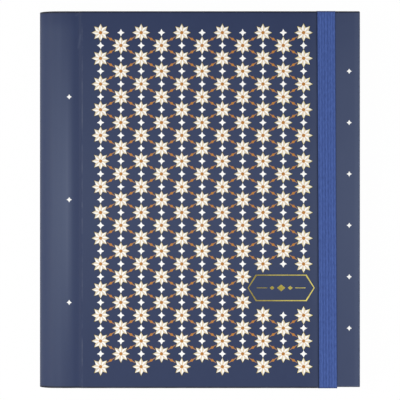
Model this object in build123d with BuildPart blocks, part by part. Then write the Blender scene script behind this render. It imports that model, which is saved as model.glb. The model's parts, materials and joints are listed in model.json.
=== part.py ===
import os
from math import asin, atan, ceil, cos, degrees, dist, pi, radians, sin, sqrt, tan

from build123d import *

os.makedirs("parts", exist_ok=True)

# An address book in a wrapped hard case with a rounded spine. It lies on its back cover:
# X runs from the spine to the fore edge, Y from tail to head, Z from back cover to front cover.
# All sizes are in millimetres.

# Case boards and their wrapping
cover_width = 184.2
cover_height = 216.0
board_thickness = 2.0
cover_paper_thickness = 0.25
turn_in_width = 15.0
endpaper_thickness = 0.2
endpaper_margin = 3.0
infill_clearance = 0.1
cover_edge_radius = 0.9

# Rounded spine and the pressed hinge grooves beside it
spine_card_thickness = 0.5
spine_lining_thickness = 0.2
spine_round_radius = 10.4
crown_width = 17.6
strip_width = 20.0
groove_width = 4.8
groove_depth = 1.0
board_set_back = 0.5
card_set_back = 0.6

# Leaf sections, the stub that ties them to the back cover, and their index tabs
section_names = ["ab", "cd", "ef", "gh", "ij", "kl", "mn", "op", "qr", "st", "uv", "wx", "yz"]
section_thickness = 1.08
section_gap = 0.02
block_clearance = 0.5
head_margin = 5.0
fore_margin = 12.0
binding_margin = 1.9
leaf_corner_radius = 3.0
stub_thickness = 0.45
stub_glue_width = 28.0
stub_margin = 1.8
tab_thickness = 0.3
tab_lap = 6.0
tab_reach = 8.0
tab_gap = 1.0
tab_end_margin = 4.0
tab_corner_radius = 2.0

# Twin-loop binding wire, one length of wire bent into pairs of loops
wire_diameter = 1.2
wire_sides = 6
wire_clearance = 0.2
loop_pitch = 12.7
loop_spacing = 3.0
loop_end_margin = 7.5
loop_bend = 0.9
loop_steps = 10
link_angle = 250.0
tip_angle = -70.0
hole_side_clearance = 0.65

# Elastic closing band
elastic_width = 9.8
elastic_thickness = 0.4
elastic_fore_offset = 19.1
elastic_skew = 1.1
elastic_end_length = 15.0
elastic_clearance = 0.04

# Levels through the thickness
section_count = len(section_names)
section_pitch = section_thickness + section_gap
block_height = section_count * section_pitch - section_gap
board_top = cover_paper_thickness + board_thickness
wrap_top = board_top + cover_paper_thickness
cover_stack = wrap_top + endpaper_thickness
block_bottom = cover_stack + stub_thickness + block_clearance
book_thickness = 2 * block_bottom + block_height
middle = Plane.XY.offset(book_thickness / 2)

# Places across the width
fore_edge = cover_width / 2
spine_edge = -cover_width / 2
axis_x = spine_edge + spine_round_radius
axis_z = book_thickness / 2
crown_x = spine_edge + crown_width
groove_start = spine_edge + strip_width
groove_middle = groove_start + groove_width / 2
groove_end = groove_start + groove_width
board_start = groove_end + board_set_back
card_end = groove_start - card_set_back
leaf_end = fore_edge - fore_margin
leaf_height = cover_height - 2 * head_margin

# Spine layers as insets from the outer surface
card_inset = cover_paper_thickness
lining_inset = card_inset + spine_card_thickness
hollow_inset = lining_inset + spine_lining_thickness
groove_radius = ((groove_width / 2) ** 2 + groove_depth**2) / (2 * groove_depth)

# The spine is a three-centred arch: its round edge runs on into a slow crown on either side
crown_run = crown_x - axis_x
crown_rise = axis_z - spine_round_radius
crown_radius = spine_round_radius + (crown_run**2 + crown_rise**2) / (2 * crown_rise)
crown_turn = asin(crown_run / (crown_radius - spine_round_radius))

# The wire rings turn about the book's opening axis, inside the spine
wire_radius = spine_round_radius - hollow_inset - wire_clearance - wire_diameter / 2
bend_angle = degrees(loop_bend / wire_radius)
step_angle = (link_angle - bend_angle - tip_angle) / loop_steps
wire_inner = wire_radius * cos(radians(step_angle / 2)) - wire_diameter / 2
wire_outer = wire_radius + wire_diameter / 2
loop_count = int((leaf_height - 2 * loop_end_margin) / loop_pitch) + 1


def ring_reach(radius, height):
    return sqrt(max(radius**2 - height**2, 0))


# Punched holes let every leaf run round the rings
hole_width = loop_spacing + wire_diameter + 2 * hole_side_clearance
hole_start = axis_x + ring_reach(wire_inner, block_height / 2) - wire_clearance
hole_end = axis_x + wire_outer + wire_clearance
leaf_start = hole_start - binding_margin
stub_low = cover_stack - axis_z
stub_high = stub_low + stub_thickness
stub_hole_start = axis_x + ring_reach(wire_inner, stub_low) - wire_clearance
stub_hole_end = axis_x + ring_reach(wire_outer, stub_high) + wire_clearance
stub_start = stub_hole_start - stub_margin
stub_end = board_start + stub_glue_width

# The band crosses the front cover a little askew
elastic_angle = atan(elastic_skew / cover_height)
elastic_x = fore_edge - elastic_fore_offset
elastic_slack = elastic_width / 2 * tan(elastic_angle) + elastic_clearance
elastic_reach = cover_height / 2 / cos(elastic_angle) + elastic_slack
elastic_plane = Plane(
    origin=(elastic_x, 0, 0),
    x_dir=(-sin(elastic_angle), cos(elastic_angle), 0),
    z_dir=(cos(elastic_angle), sin(elastic_angle), 0),
)


def write(builder, label):
    builder.part.label = label
    export_step(builder.part, f"parts/{label}.step")


# A rectangle between two places along X, centred on Y
def centred_rectangle(x_low, x_high, height):
    with Locations(((x_low + x_high) / 2, 0)):
        Rectangle(x_high - x_low, height)


# Case boards, alike on both sides of the block
with BuildPart() as plain_board:
    with BuildSketch(Plane.XY.offset(cover_paper_thickness)):
        centred_rectangle(board_start, fore_edge - cover_paper_thickness, cover_height - 2 * cover_paper_thickness)
    extrude(amount=board_thickness)
    fillet(plain_board.faces().sort_by(Axis.Z)[0].edges(), cover_edge_radius - cover_paper_thickness)

# Printed paper wrapped over the board's outer face and three edges and turned in behind it
with BuildPart() as plain_wrap:
    with BuildSketch():
        centred_rectangle(groove_end, fore_edge, cover_height)
    extrude(amount=wrap_top)
    fillet(plain_wrap.faces().sort_by(Axis.Z)[0].edges().sort_by(Axis.X)[1:], cover_edge_radius)
    add(plain_board.part, mode=Mode.SUBTRACT)
    with BuildSketch(Plane.XY.offset(cover_paper_thickness)):
        centred_rectangle(groove_end, board_start, cover_height)
    extrude(amount=wrap_top - cover_paper_thickness, mode=Mode.SUBTRACT)
    with BuildSketch(Plane.XY.offset(board_top)):
        centred_rectangle(board_start, fore_edge - turn_in_width, cover_height - 2 * turn_in_width)
    extrude(amount=cover_paper_thickness, mode=Mode.SUBTRACT)

# Endpaper pasted over the turn-ins, level with them where it fills the space between
with BuildPart() as plain_endpaper:
    with BuildSketch(Plane.XY.offset(wrap_top)):
        centred_rectangle(board_start, fore_edge - endpaper_margin, cover_height - 2 * endpaper_margin)
    extrude(amount=endpaper_thickness)
    with BuildSketch(Plane.XY.offset(board_top)):
        infill_end = fore_edge - turn_in_width - infill_clearance
        centred_rectangle(board_start, infill_end, cover_height - 2 * (turn_in_width + infill_clearance))
    extrude(amount=cover_paper_thickness)

# Front cover: the same pieces turned over to the other side of the block
with BuildPart() as front_board:
    mirror(plain_board.part, about=middle)
write(front_board, "front_board")

with BuildPart() as front_cover_paper:
    mirror(plain_wrap.part, about=middle)
write(front_cover_paper, "front_cover_paper")

with BuildPart() as front_endpaper:
    mirror(plain_endpaper.part, about=middle)
write(front_endpaper, "front_endpaper")

# Elastic band: over the front cover, round head and tail, with its ends under the back turn-ins
with BuildPart() as elastic_band:
    with BuildSketch(elastic_plane) as band_section:
        with Locations((0, (board_top + book_thickness) / 2)):
            Rectangle(
                2 * (elastic_reach + elastic_thickness),
                book_thickness - board_top + 2 * elastic_thickness,
            )
        fillet(band_section.vertices(), elastic_thickness)
        with Locations((0, (board_top + book_thickness) / 2)):
            Rectangle(2 * elastic_reach, book_thickness - board_top, mode=Mode.SUBTRACT)
        with Locations((0, board_top - elastic_thickness / 2)):
            Rectangle(2 * (elastic_reach - elastic_end_length), elastic_thickness, mode=Mode.SUBTRACT)
    extrude(amount=elastic_width / 2, both=True)
write(elastic_band, "elastic_band")

# Room for the band's two ends in the back board and through its wrapped edges
with BuildPart() as elastic_pockets:
    pocket_depth = elastic_thickness + elastic_clearance
    pocket_length = elastic_end_length + elastic_clearance + elastic_thickness
    pocket_offset = elastic_reach + elastic_thickness - pocket_length / 2
    with BuildSketch(elastic_plane):
        with Locations((-pocket_offset, board_top - pocket_depth / 2), (pocket_offset, board_top - pocket_depth / 2)):
            Rectangle(pocket_length, pocket_depth)
    extrude(amount=elastic_width / 2 + elastic_clearance, both=True)

# Back cover
with BuildPart() as back_board:
    add(plain_board.part)
    add(elastic_pockets.part, mode=Mode.SUBTRACT)
write(back_board, "back_board")

with BuildPart() as back_cover_paper:
    add(plain_wrap.part)
    add(elastic_pockets.part, mode=Mode.SUBTRACT)
write(back_cover_paper, "back_cover_paper")

with BuildPart() as back_endpaper:
    add(plain_endpaper.part)
write(back_endpaper, "back_endpaper")


# A point of the front crown, by its inset from the outer surface and its turn from the top
def crown_point(inset, turn):
    reach = crown_radius - inset
    return (crown_x - reach * sin(turn), book_thickness - crown_radius + reach * cos(turn))


# The arch from the front crown round the spine's edge to the back crown
def arch_outline(inset):
    front = [crown_point(inset, turn) for turn in (0, crown_turn / 2, crown_turn)]
    back = [(x, book_thickness - z) for x, z in reversed(front)]
    ThreePointArc(*front)
    ThreePointArc(front[-1], (spine_edge + inset, axis_z), back[0])
    ThreePointArc(*back)


# Spine section without grooves at an inset from the outer surface, closed at a place along X
def strip_outline(inset, end_x):
    top = book_thickness - inset
    Line((crown_x, inset), (end_x, inset))
    Line((end_x, inset), (end_x, top))
    Line((end_x, top), (crown_x, top))
    arch_outline(inset)


# The same section run on through both hinge grooves to the edge of the covers
def grooved_outline(inset):
    top = book_thickness - inset
    valley = groove_depth + inset
    arc_radius = groove_radius + inset
    arc_start = groove_middle - sqrt(arc_radius**2 - (arc_radius - groove_depth) ** 2)
    arc_end = valley - arc_radius + sqrt(arc_radius**2 - (groove_width / 2) ** 2)
    Line((crown_x, inset), (arc_start, inset))
    ThreePointArc((arc_start, inset), (groove_middle, valley), (groove_end, arc_end))
    Line((groove_end, arc_end), (groove_end, book_thickness - arc_end))
    ThreePointArc(
        (groove_end, book_thickness - arc_end),
        (groove_middle, book_thickness - valley),
        (arc_start, top),
    )
    Line((arc_start, top), (crown_x, top))
    arch_outline(inset)


# Spine layers from the outside in
with BuildPart() as spine_cover_paper:
    with BuildSketch(Plane.XZ):
        with BuildLine():
            grooved_outline(0)
        make_face()
        with BuildLine():
            grooved_outline(cover_paper_thickness)
        make_face(mode=Mode.SUBTRACT)
    extrude(amount=cover_height / 2, both=True)
write(spine_cover_paper, "spine_cover_paper")

with BuildPart() as spine_card:
    with BuildSketch(Plane.XZ):
        with BuildLine():
            strip_outline(card_inset, card_end)
        make_face()
        with BuildLine():
            strip_outline(lining_inset, card_end)
        make_face(mode=Mode.SUBTRACT)
    extrude(amount=cover_height / 2 - cover_paper_thickness, both=True)
write(spine_card, "spine_card")

# The lining backs the card, steps off its edges and follows the paper through the grooves
with BuildPart() as spine_lining:
    lining_end = card_end + spine_lining_thickness
    step_height = spine_card_thickness + spine_lining_thickness
    step_place = card_inset + step_height / 2
    with BuildSketch(Plane.XZ):
        with BuildLine():
            grooved_outline(card_inset)
        make_face()
        with BuildLine():
            grooved_outline(card_inset + spine_lining_thickness)
        make_face(mode=Mode.SUBTRACT)
        with BuildLine():
            strip_outline(card_inset, card_end)
        make_face(mode=Mode.SUBTRACT)
        with BuildLine():
            strip_outline(lining_inset, lining_end)
        make_face()
        with BuildLine():
            strip_outline(hollow_inset, lining_end)
        make_face(mode=Mode.SUBTRACT)
        with Locations(
            (card_end + spine_lining_thickness / 2, step_place),
            (card_end + spine_lining_thickness / 2, book_thickness - step_place),
        ):
            Rectangle(spine_lining_thickness, step_height)
    extrude(amount=cover_height / 2 - cover_paper_thickness, both=True)
write(spine_lining, "spine_lining")

# Card stub glued to the back endpaper, punched for the wire
with BuildPart() as binding_stub:
    with BuildSketch(Plane.XY.offset(cover_stack)):
        centred_rectangle(stub_start, stub_end, leaf_height)
        with Locations(((stub_hole_start + stub_hole_end) / 2, 0)):
            with GridLocations(loop_pitch, loop_pitch, 1, loop_count):
                Rectangle(stub_hole_end - stub_hole_start, hole_width, mode=Mode.SUBTRACT)
    extrude(amount=stub_thickness)
write(binding_stub, "binding_stub")


# A point of the wire's middle line, by its place along the spine and its angle round the rings
def ring_point(y, angle):
    turn = radians(angle)
    return (axis_x + wire_radius * cos(turn), y, axis_z + wire_radius * sin(turn))


# One pair of loops: along the link, round the ring to the tip, back round to the next link
def loop_route(y_middle):
    y_near = y_middle - loop_spacing / 2
    y_far = y_middle + loop_spacing / 2
    ring_angles = [tip_angle + step * step_angle for step in range(loop_steps + 1)]
    route = [ring_point(y_middle - loop_pitch / 2, link_angle)]
    route.append(ring_point(y_near - loop_bend, link_angle))
    route += [ring_point(y_near, angle) for angle in reversed(ring_angles)]
    route.append(ring_point(y_near + loop_bend, tip_angle - bend_angle))
    route.append(ring_point(y_far - loop_bend, tip_angle - bend_angle))
    route += [ring_point(y_far, angle) for angle in ring_angles]
    route.append(ring_point(y_far + loop_bend, link_angle))
    route.append(ring_point(y_middle + loop_pitch / 2, link_angle))
    return route


with BuildPart() as wire_loop:
    with BuildLine():
        Polyline(*loop_route(0))
    link_turn = radians(link_angle)
    link_plane = Plane(
        origin=ring_point(-loop_pitch / 2, link_angle),
        x_dir=(cos(link_turn), 0, sin(link_turn)),
        z_dir=(0, 1, 0),
    )
    with BuildSketch(link_plane):
        RegularPolygon(radius=wire_diameter / 2, side_count=wire_sides)
    sweep(transition=Transition.RIGHT)

with BuildPart() as twin_loop_wire:
    with GridLocations(loop_pitch, loop_pitch, 1, loop_count):
        add(wire_loop.part)
write(twin_loop_wire, "twin_loop_wire")


# Points closer together than the wire is thick, with their distance along the wire
def spaced_points(route):
    points = []
    travelled = 0
    for start, end in zip(route, route[1:]):
        length = dist(start, end)
        count = ceil(2 * length / wire_diameter)
        for step in range(count):
            share = step / count
            place = [a + (b - a) * share for a, b in zip(start, end)]
            points.append((travelled + length * share, place))
        travelled += length
    return points


# Stretches further apart along the wire than one tip's half turn must not touch
wire_points = spaced_points(loop_route(0) + loop_route(loop_pitch)[1:])
tip_length = pi * loop_spacing / 2
wire_gap = min(
    dist(place, other) - wire_diameter
    for along, place in wire_points
    for other_along, other in wire_points
    if other_along - along > tip_length
)
print(f"wire: {loop_count} loop pairs, least gap to itself {wire_gap:.2f} mm")

# Leaf sections with their index tabs, the first at the front cover
tab_pitch = (leaf_height - 2 * tab_end_margin) / section_count
tab_height = tab_pitch - tab_gap
for index, name in enumerate(section_names):
    section_bottom = block_bottom + (section_count - 1 - index) * section_pitch
    section_top = section_bottom + section_thickness
    tab_y = leaf_height / 2 - tab_end_margin - (index + 0.5) * tab_pitch

    with BuildPart() as leaves:
        with BuildSketch(Plane.XY.offset(section_bottom)) as leaf_face:
            centred_rectangle(leaf_start, leaf_end, leaf_height)
            fillet(leaf_face.vertices().group_by(Axis.X)[-1], leaf_corner_radius)
            with Locations(((hole_start + hole_end) / 2, 0)):
                with GridLocations(loop_pitch, loop_pitch, 1, loop_count):
                    Rectangle(hole_end - hole_start, hole_width, mode=Mode.SUBTRACT)
        extrude(amount=section_thickness)
        with BuildSketch(Plane.XY.offset(section_top)):
            with Locations((leaf_end - tab_lap / 2, tab_y)):
                Rectangle(tab_lap, tab_height)
        extrude(amount=-tab_thickness, mode=Mode.SUBTRACT)
    write(leaves, f"leaves_{name}")

    with BuildPart() as tab:
        with BuildSketch(Plane.XY.offset(section_top - tab_thickness)) as tab_face:
            with Locations((leaf_end + (tab_reach - tab_lap) / 2, tab_y)):
                Rectangle(tab_lap + tab_reach, tab_height)
            fillet(tab_face.vertices().group_by(Axis.X)[-1], tab_corner_radius)
        extrude(amount=tab_thickness)
    write(tab, f"tab_{name}")
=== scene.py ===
import json
import math

import bmesh
import bpy
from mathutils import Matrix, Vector


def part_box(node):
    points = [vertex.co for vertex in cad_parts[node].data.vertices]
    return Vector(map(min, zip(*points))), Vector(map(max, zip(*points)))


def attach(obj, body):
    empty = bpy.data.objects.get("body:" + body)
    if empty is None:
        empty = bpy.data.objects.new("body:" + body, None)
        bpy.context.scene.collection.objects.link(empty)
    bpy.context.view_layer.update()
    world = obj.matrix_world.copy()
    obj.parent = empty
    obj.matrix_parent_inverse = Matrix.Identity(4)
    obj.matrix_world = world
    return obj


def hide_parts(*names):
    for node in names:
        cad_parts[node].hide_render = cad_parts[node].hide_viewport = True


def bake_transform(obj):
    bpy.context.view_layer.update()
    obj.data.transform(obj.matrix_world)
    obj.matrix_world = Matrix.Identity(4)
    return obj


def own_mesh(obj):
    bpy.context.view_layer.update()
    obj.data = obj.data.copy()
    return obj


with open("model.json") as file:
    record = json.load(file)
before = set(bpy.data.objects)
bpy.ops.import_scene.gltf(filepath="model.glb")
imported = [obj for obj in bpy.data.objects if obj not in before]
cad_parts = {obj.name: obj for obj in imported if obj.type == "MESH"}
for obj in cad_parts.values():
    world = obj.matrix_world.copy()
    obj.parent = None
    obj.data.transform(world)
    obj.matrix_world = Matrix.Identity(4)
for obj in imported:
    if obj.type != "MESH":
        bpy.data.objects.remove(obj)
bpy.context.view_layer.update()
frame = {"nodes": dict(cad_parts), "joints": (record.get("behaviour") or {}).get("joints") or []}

mm = 0.001
print("frame loaded:", len(frame["nodes"]), "nodes")

# places that the pieces share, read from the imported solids
frontLow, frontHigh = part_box("front_cover_paper")
backLow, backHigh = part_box("back_cover_paper")
spineLow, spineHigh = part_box("spine_cover_paper")
bandLow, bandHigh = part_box("elastic_band")
hinge = next(joint for joint in frame["joints"] if joint["name"] == "front_cover_hinge")
hingeX, hingeZ = hinge["pos_m"][0], hinge["pos_m"][2]
coverTop = frontHigh.z
sectionNames = sorted(name.removeprefix("leaves_") for name in frame["nodes"] if name.startswith("leaves_"))


# small tools
def linkPiece(name, data):
    piece = bpy.data.objects.new(name, data)
    bpy.context.scene.collection.objects.link(piece)
    return piece


def makeMesh(name, verts, faces, smoothAngle=0):
    mesh = bpy.data.meshes.new(name)
    mesh.from_pydata(verts, [], faces)
    build = bmesh.new()
    build.from_mesh(mesh)
    bmesh.ops.recalc_face_normals(build, faces=build.faces)
    build.to_mesh(mesh)
    build.free()
    if smoothAngle:
        mesh.shade_smooth()
        mesh.set_sharp_from_angle(angle=math.radians(smoothAngle))
    return mesh


def sweptFaces(ring, rows):
    # a ring of points carried along in rows, its outer and inner half joined at both ends
    faces = []
    for row in range(rows - 1):
        for k in range(ring):
            a, b = row * ring + k, row * ring + (k + 1) % ring
            faces.append((a, b, b + ring, a + ring))
    for base in (0, (rows - 1) * ring):
        for k in range(ring // 2 - 1):
            faces.append((base + k, base + k + 1, base + ring - 2 - k, base + ring - 1 - k))
    return faces


def place(name, mesh, body, slot, material, *nodes):
    mesh.name = name
    mesh.materials.clear()
    mesh.materials.append(material)
    piece = linkPiece(name, mesh)
    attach(piece, body)
    if nodes:
        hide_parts(*nodes)
    return piece


def finishNode(nodeName, material):
    mesh = frame["nodes"][nodeName].data
    mesh.materials.clear()
    mesh.materials.append(material)


# node tools, for geometry and for shading: they give outputs, and a socket knows its own tree
def addNode(tree, kind, inputs=None, **settings):
    node = tree.nodes.new(kind)
    for key, value in settings.items():
        setattr(node, key, value)
    for key, value in (inputs or {}).items():
        if isinstance(value, bpy.types.NodeSocket):
            tree.links.new(value, node.inputs[key])
        else:
            node.inputs[key].default_value = value
    return node.outputs


def join(output, target):
    target.id_data.links.new(output, target)


def mathNode(operation, first, second=0.0, clamp=False):
    inputs = {0: first, 1: second}
    return addNode(first.id_data, "ShaderNodeMath", inputs, operation=operation, use_clamp=clamp)[0]


def plus(first, second, clamp=False):
    return mathNode("ADD", first, second, clamp)


def minus(first, second):
    return mathNode("SUBTRACT", first, second)


def times(first, second, clamp=False):
    return mathNode("MULTIPLY", first, second, clamp)


def absolute(value):
    return mathNode("ABSOLUTE", value)


def vectorNode(operation, first, second=(0, 0, 0)):
    return addNode(first.id_data, "ShaderNodeVectorMath", {0: first, 1: second}, operation=operation)


def scaled(tree, vector, scale):
    return addNode(tree, "ShaderNodeVectorMath", {0: vector, "Scale": scale}, operation="SCALE")[0]


def axes(vector):
    return addNode(vector.id_data, "ShaderNodeSeparateXYZ", {0: vector})


def vectorOf(tree, parts):
    return addNode(tree, "ShaderNodeCombineXYZ", parts)[0]


def mapped(value, fromLow, fromHigh, toLow=0.0, toHigh=1.0, **settings):
    inputs = {"Value": value, "From Min": fromLow, "From Max": fromHigh, "To Min": toLow, "To Max": toHigh}
    return addNode(value.id_data, "ShaderNodeMapRange", inputs, **settings)[0]


def noise(tree, inputs, **settings):
    return addNode(tree, "ShaderNodeTexNoise", inputs, **settings)["Fac"]


def shapeNode(tree, kind, inputs):
    return addNode(tree, "GeometryNode" + kind, inputs)[0]


socketKinds = {float: "NodeSocketFloat", int: "NodeSocketInt", tuple: "NodeSocketVector"}


def newTree(name, kind, inputs, outputs):
    # each socket is given by its first value, or by its kind where it has none
    tree = bpy.data.node_groups.new(name, kind)
    for direction, sockets in (("INPUT", inputs), ("OUTPUT", outputs)):
        for label, first in sockets.items():
            socketKind = socketKinds.get(type(first), first)
            socket = tree.interface.new_socket(label, in_out=direction, socket_type=socketKind)
            if socketKind != first:
                socket.default_value = first
    return tree, tree.nodes.new("NodeGroupInput").outputs, tree.nodes.new("NodeGroupOutput").inputs


def openPieceTree(name, sizes):
    shape = {"Geometry": "NodeSocketGeometry"}
    return newTree(name, "GeometryNodeTree", {**shape, **sizes, "Material": "NodeSocketMaterial"}, shape)


def closePieceTree(shape, given, result):
    tree = shape.id_data
    real = shapeNode(tree, "RealizeInstances", {"Geometry": shape})
    painted = shapeNode(tree, "SetMaterial", {"Geometry": real, "Material": given["Material"]})
    join(painted, result["Geometry"])
    return tree


def runTree(data, tree, values):
    source = linkPiece("source", data)
    modifier = source.modifiers.new(tree.name, "NODES")
    modifier.node_group = tree
    for item in tree.interface.items_tree:
        if item.in_out == "INPUT" and item.name in values:
            modifier[item.identifier] = values[item.name]
    evaluated = source.evaluated_get(bpy.context.evaluated_depsgraph_get())
    mesh = bpy.data.meshes.new_from_object(evaluated)
    source.modifiers.remove(modifier)
    bpy.data.objects.remove(source)
    return mesh


def treePiece(name, data, tree, sizes, body, slot, material, *nodes):
    mesh = runTree(data, tree, {**sizes, "Material": material})
    return place(name, mesh, body, slot, material, *nodes)


# shader groups: paper grain, the pale rub along a cover's edges, the painted shade at head and tail
grainMix = {"coarseScale": 0.08, "coarse": 0.65, "fine": 0.35}
rubSpots = {"scale": 160.0, "spread": (0.38, 0.68)}
endShadeFacing = (0.15, 0.5)  # the painted end shade shows only where a face lies flat


def makeGrainGroup():
    tree, given, result = newTree(
        "paperGrain", "ShaderNodeTree", {"Vector": (0, 0, 0), "Scale": 400.0}, {"Mottle": 0.0, "Height": 0.0})
    coarseScale = times(given["Scale"], grainMix["coarseScale"])
    coarse = noise(tree, {"Vector": given["Vector"], "Scale": coarseScale, "Detail": 3.0, "Roughness": 0.6})
    fine = noise(tree, {"Vector": given["Vector"], "Scale": given["Scale"], "Detail": 5.0})
    join(plus(times(coarse, grainMix["coarse"]), times(fine, grainMix["fine"])), result["Mottle"])
    join(fine, result["Height"])
    return tree


def makeRubGroup():
    tree, given, result = newTree(
        "edgeRub", "ShaderNodeTree",
        {"Vector": (0, 0, 0), "Low": (0, 0, 0), "High": (0, 0, 0), "Width": 0.001}, {"Rub": 0.0})
    below = vectorNode("SUBTRACT", given["Vector"], given["Low"])[0]
    above = vectorNode("SUBTRACT", given["High"], given["Vector"])[0]
    near = axes(vectorNode("MINIMUM", below, above)[0])
    # an arris is near a side and near the top or bottom at once
    distance = mathNode("MAXIMUM", mathNode("MINIMUM", near["X"], near["Y"]), near["Z"])
    edge = mapped(distance, 0.0, given["Width"], 1.0, 0.0, interpolation_type="SMOOTHSTEP")
    spots = noise(tree, {"Vector": given["Vector"], "Scale": rubSpots["scale"], "Detail": 4.0})
    join(times(edge, mapped(spots, *rubSpots["spread"]), True), result["Rub"])
    return tree


# painted shade: a dark line along head and tail, on faces that lie flat
def makePaintedEndShadeGroup():
    tree, given, result = newTree(
        "paintedEndShade", "ShaderNodeTree",
        {"Along": 0.0, "Edge": 0.1, "Facing": 1.0, "Dark": 0.0004, "Fade": 0.001}, {"EndShade": 0.0})
    toEnd = minus(given["Edge"], absolute(given["Along"]))
    line = mapped(toEnd, given["Dark"], given["Fade"], 1.0, 0.0)
    join(times(line, mapped(absolute(given["Facing"]), *endShadeFacing)), result["EndShade"])
    return tree


paperGrain = makeGrainGroup()
edgeRub = makeRubGroup()
paintedEndShade = makePaintedEndShadeGroup()


# materials
mottleSpan = (0.3, 0.7)  # the grain's usual reach
bumpHeight = 0.02 * mm


def startMaterial(name, grainScale):
    material = bpy.data.materials.new(name)
    material.use_nodes = True
    tree = material.node_tree
    coords = tree.nodes.new("ShaderNodeTexCoord").outputs["Object"]
    grain = addNode(tree, "ShaderNodeGroup", {"Vector": coords, "Scale": grainScale}, node_tree=paperGrain)
    return material, tree.nodes["Principled BSDF"].inputs, coords, grain


def mixColour(factor, first, second):
    if isinstance(first, tuple):
        first = (*first, 1.0)
    inputs = {0: factor, 6: first, 7: (*second, 1.0)}  # its colour sockets
    return addNode(factor.id_data, "ShaderNodeMix", inputs, data_type="RGBA")[2]


def setBump(shader, height, strength, distance=bumpHeight):
    inputs = {"Height": height, "Strength": strength, "Distance": distance}
    join(addNode(height.id_data, "ShaderNodeBump", inputs)[0], shader["Normal"])


def setLook(shader, colour, grain, look):
    join(colour, shader["Base Color"])
    join(mapped(grain["Mottle"], *mottleSpan, *look["rough"]), shader["Roughness"])
    if "bump" in look:
        setBump(shader, grain["Height"], look["bump"])


def grained(name, dark, light, look):
    material, shader, coords, grain = startMaterial(name, look["grainScale"])
    setLook(shader, mixColour(grain["Mottle"], dark, light), grain, look)
    return material


def levels(value, low, high, stops):
    # a mask that eases from stop to stop between two places
    ramp = value.id_data.nodes.new("ShaderNodeValToRGB")
    join(mapped(value, low, high), ramp.inputs["Fac"])
    ramp.color_ramp.interpolation = "EASE"
    elements = ramp.color_ramp.elements
    for stop in stops[1:-1]:
        elements.new(stop[0])
    for element, (at, level) in zip(elements, stops):
        element.position = at
        element.color = (level, level, level, 1.0)
    return ramp.outputs["Color"]


def upFacing(tree):
    return axes(tree.nodes.new("ShaderNodeNewGeometry").outputs["Normal"])["Z"]


def paintedEndShadeMask(along, edge, endShade):
    tree = along.id_data
    inputs = {"Along": along, "Edge": edge, "Dark": endShade[0], "Fade": endShade[1], "Facing": upFacing(tree)}
    return addNode(tree, "ShaderNodeGroup", inputs, node_tree=paintedEndShade)["EndShade"]


navyLook = {
    "deep": (0.012, 0.022, 0.068),
    "pale": (0.016, 0.029, 0.083),
    # painted light: the lighter tint that the hazes and crease highlights mix in
    "paintedLightTint": (0.062, 0.081, 0.143),
    # painted shade at head and tail
    "turned": (0.003, 0.004, 0.010),
    "shine": 0.3,
    # width and strength of the painted crease highlights
    "creaseHighlightWidth": 0.9 * mm,
    "creaseHighlightShare": 0.3,
    "rubbed": (0.20, 0.22, 0.27),
    "rubWidth": 0.9 * mm,
    "rubShare": 0.3,
    "grainScale": 2600.0,
    "bump": 0.12,
}


def creaseHighlight(coords, start, end):
    # painted highlight: a soft light line between two places on the sheet, seen from above
    flat = vectorNode("MULTIPLY", coords, (1, 1, 0))[0]
    along = Vector((*end, 0)) - Vector((*start, 0))
    offset = vectorNode("SUBTRACT", flat, (*start, 0))[0]
    share = times(vectorNode("DOT_PRODUCT", offset, along / along.length_squared)["Value"], 1.0, True)
    away = vectorNode("DISTANCE", offset, scaled(coords.id_data, along, share))["Value"]
    return mapped(away, 0.0, navyLook["creaseHighlightWidth"], navyLook["creaseHighlightShare"], 0.0)


def navyPaper(name, low, high, lightAndWear):
    material, shader, coords, grain = startMaterial(name, navyLook["grainScale"])
    shader["Specular IOR Level"].default_value = navyLook["shine"]
    rubReach = Vector((lightAndWear["rubReach"], 0, 0))
    rub = addNode(material.node_tree, "ShaderNodeGroup", {
        "Vector": coords, "Low": low - rubReach, "High": high + rubReach, "Width": navyLook["rubWidth"],
    }, node_tree=edgeRub)
    spot = axes(coords)
    # painted light: lighter hazes across and along the cover, from the ramps given for each cover
    paintedLightRamps = []
    for overX, overY in (("across", "ends"), ("ridge", "upward")):
        crosswise = levels(spot["X"], low.x, high.x, lightAndWear[overX])
        paintedLightRamps.append(times(crosswise, levels(spot["Y"], low.y, high.y, lightAndWear[overY])))
    paintedLight = plus(*paintedLightRamps, True)
    for start, end in lightAndWear["creaseHighlights"]:
        paintedLight = plus(paintedLight, creaseHighlight(coords, start, end), True)
    coverColour = mixColour(grain["Mottle"], navyLook["deep"], navyLook["pale"])
    coverColour = mixColour(paintedLight, coverColour, navyLook["paintedLightTint"])
    # painted shade: a dark line along head and tail
    coverColour = mixColour(paintedEndShadeMask(spot["Y"], high.y, lightAndWear["endShade"]), coverColour, navyLook["turned"])
    worn = times(rub["Rub"], navyLook["rubShare"])
    setLook(shader, mixColour(worn, coverColour, navyLook["rubbed"]), grain, {**navyLook, **lightAndWear})
    return material


plainLook = {"rough": (0.75, 0.9), "bump": 0.2, "grainScale": 1500.0}
ruledLook = {
    "dark": (0.78, 0.75, 0.67),
    "light": (0.88, 0.86, 0.79),
    "grainScale": 1800.0,
    "lineGap": 8.4 * mm,
    "lineWidth": 0.28 * mm,
    "ink": (0.30, 0.36, 0.50),
    "margin": 9.0 * mm,
    "flat": 0.3,  # no lines on the sheets' edges
}


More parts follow.
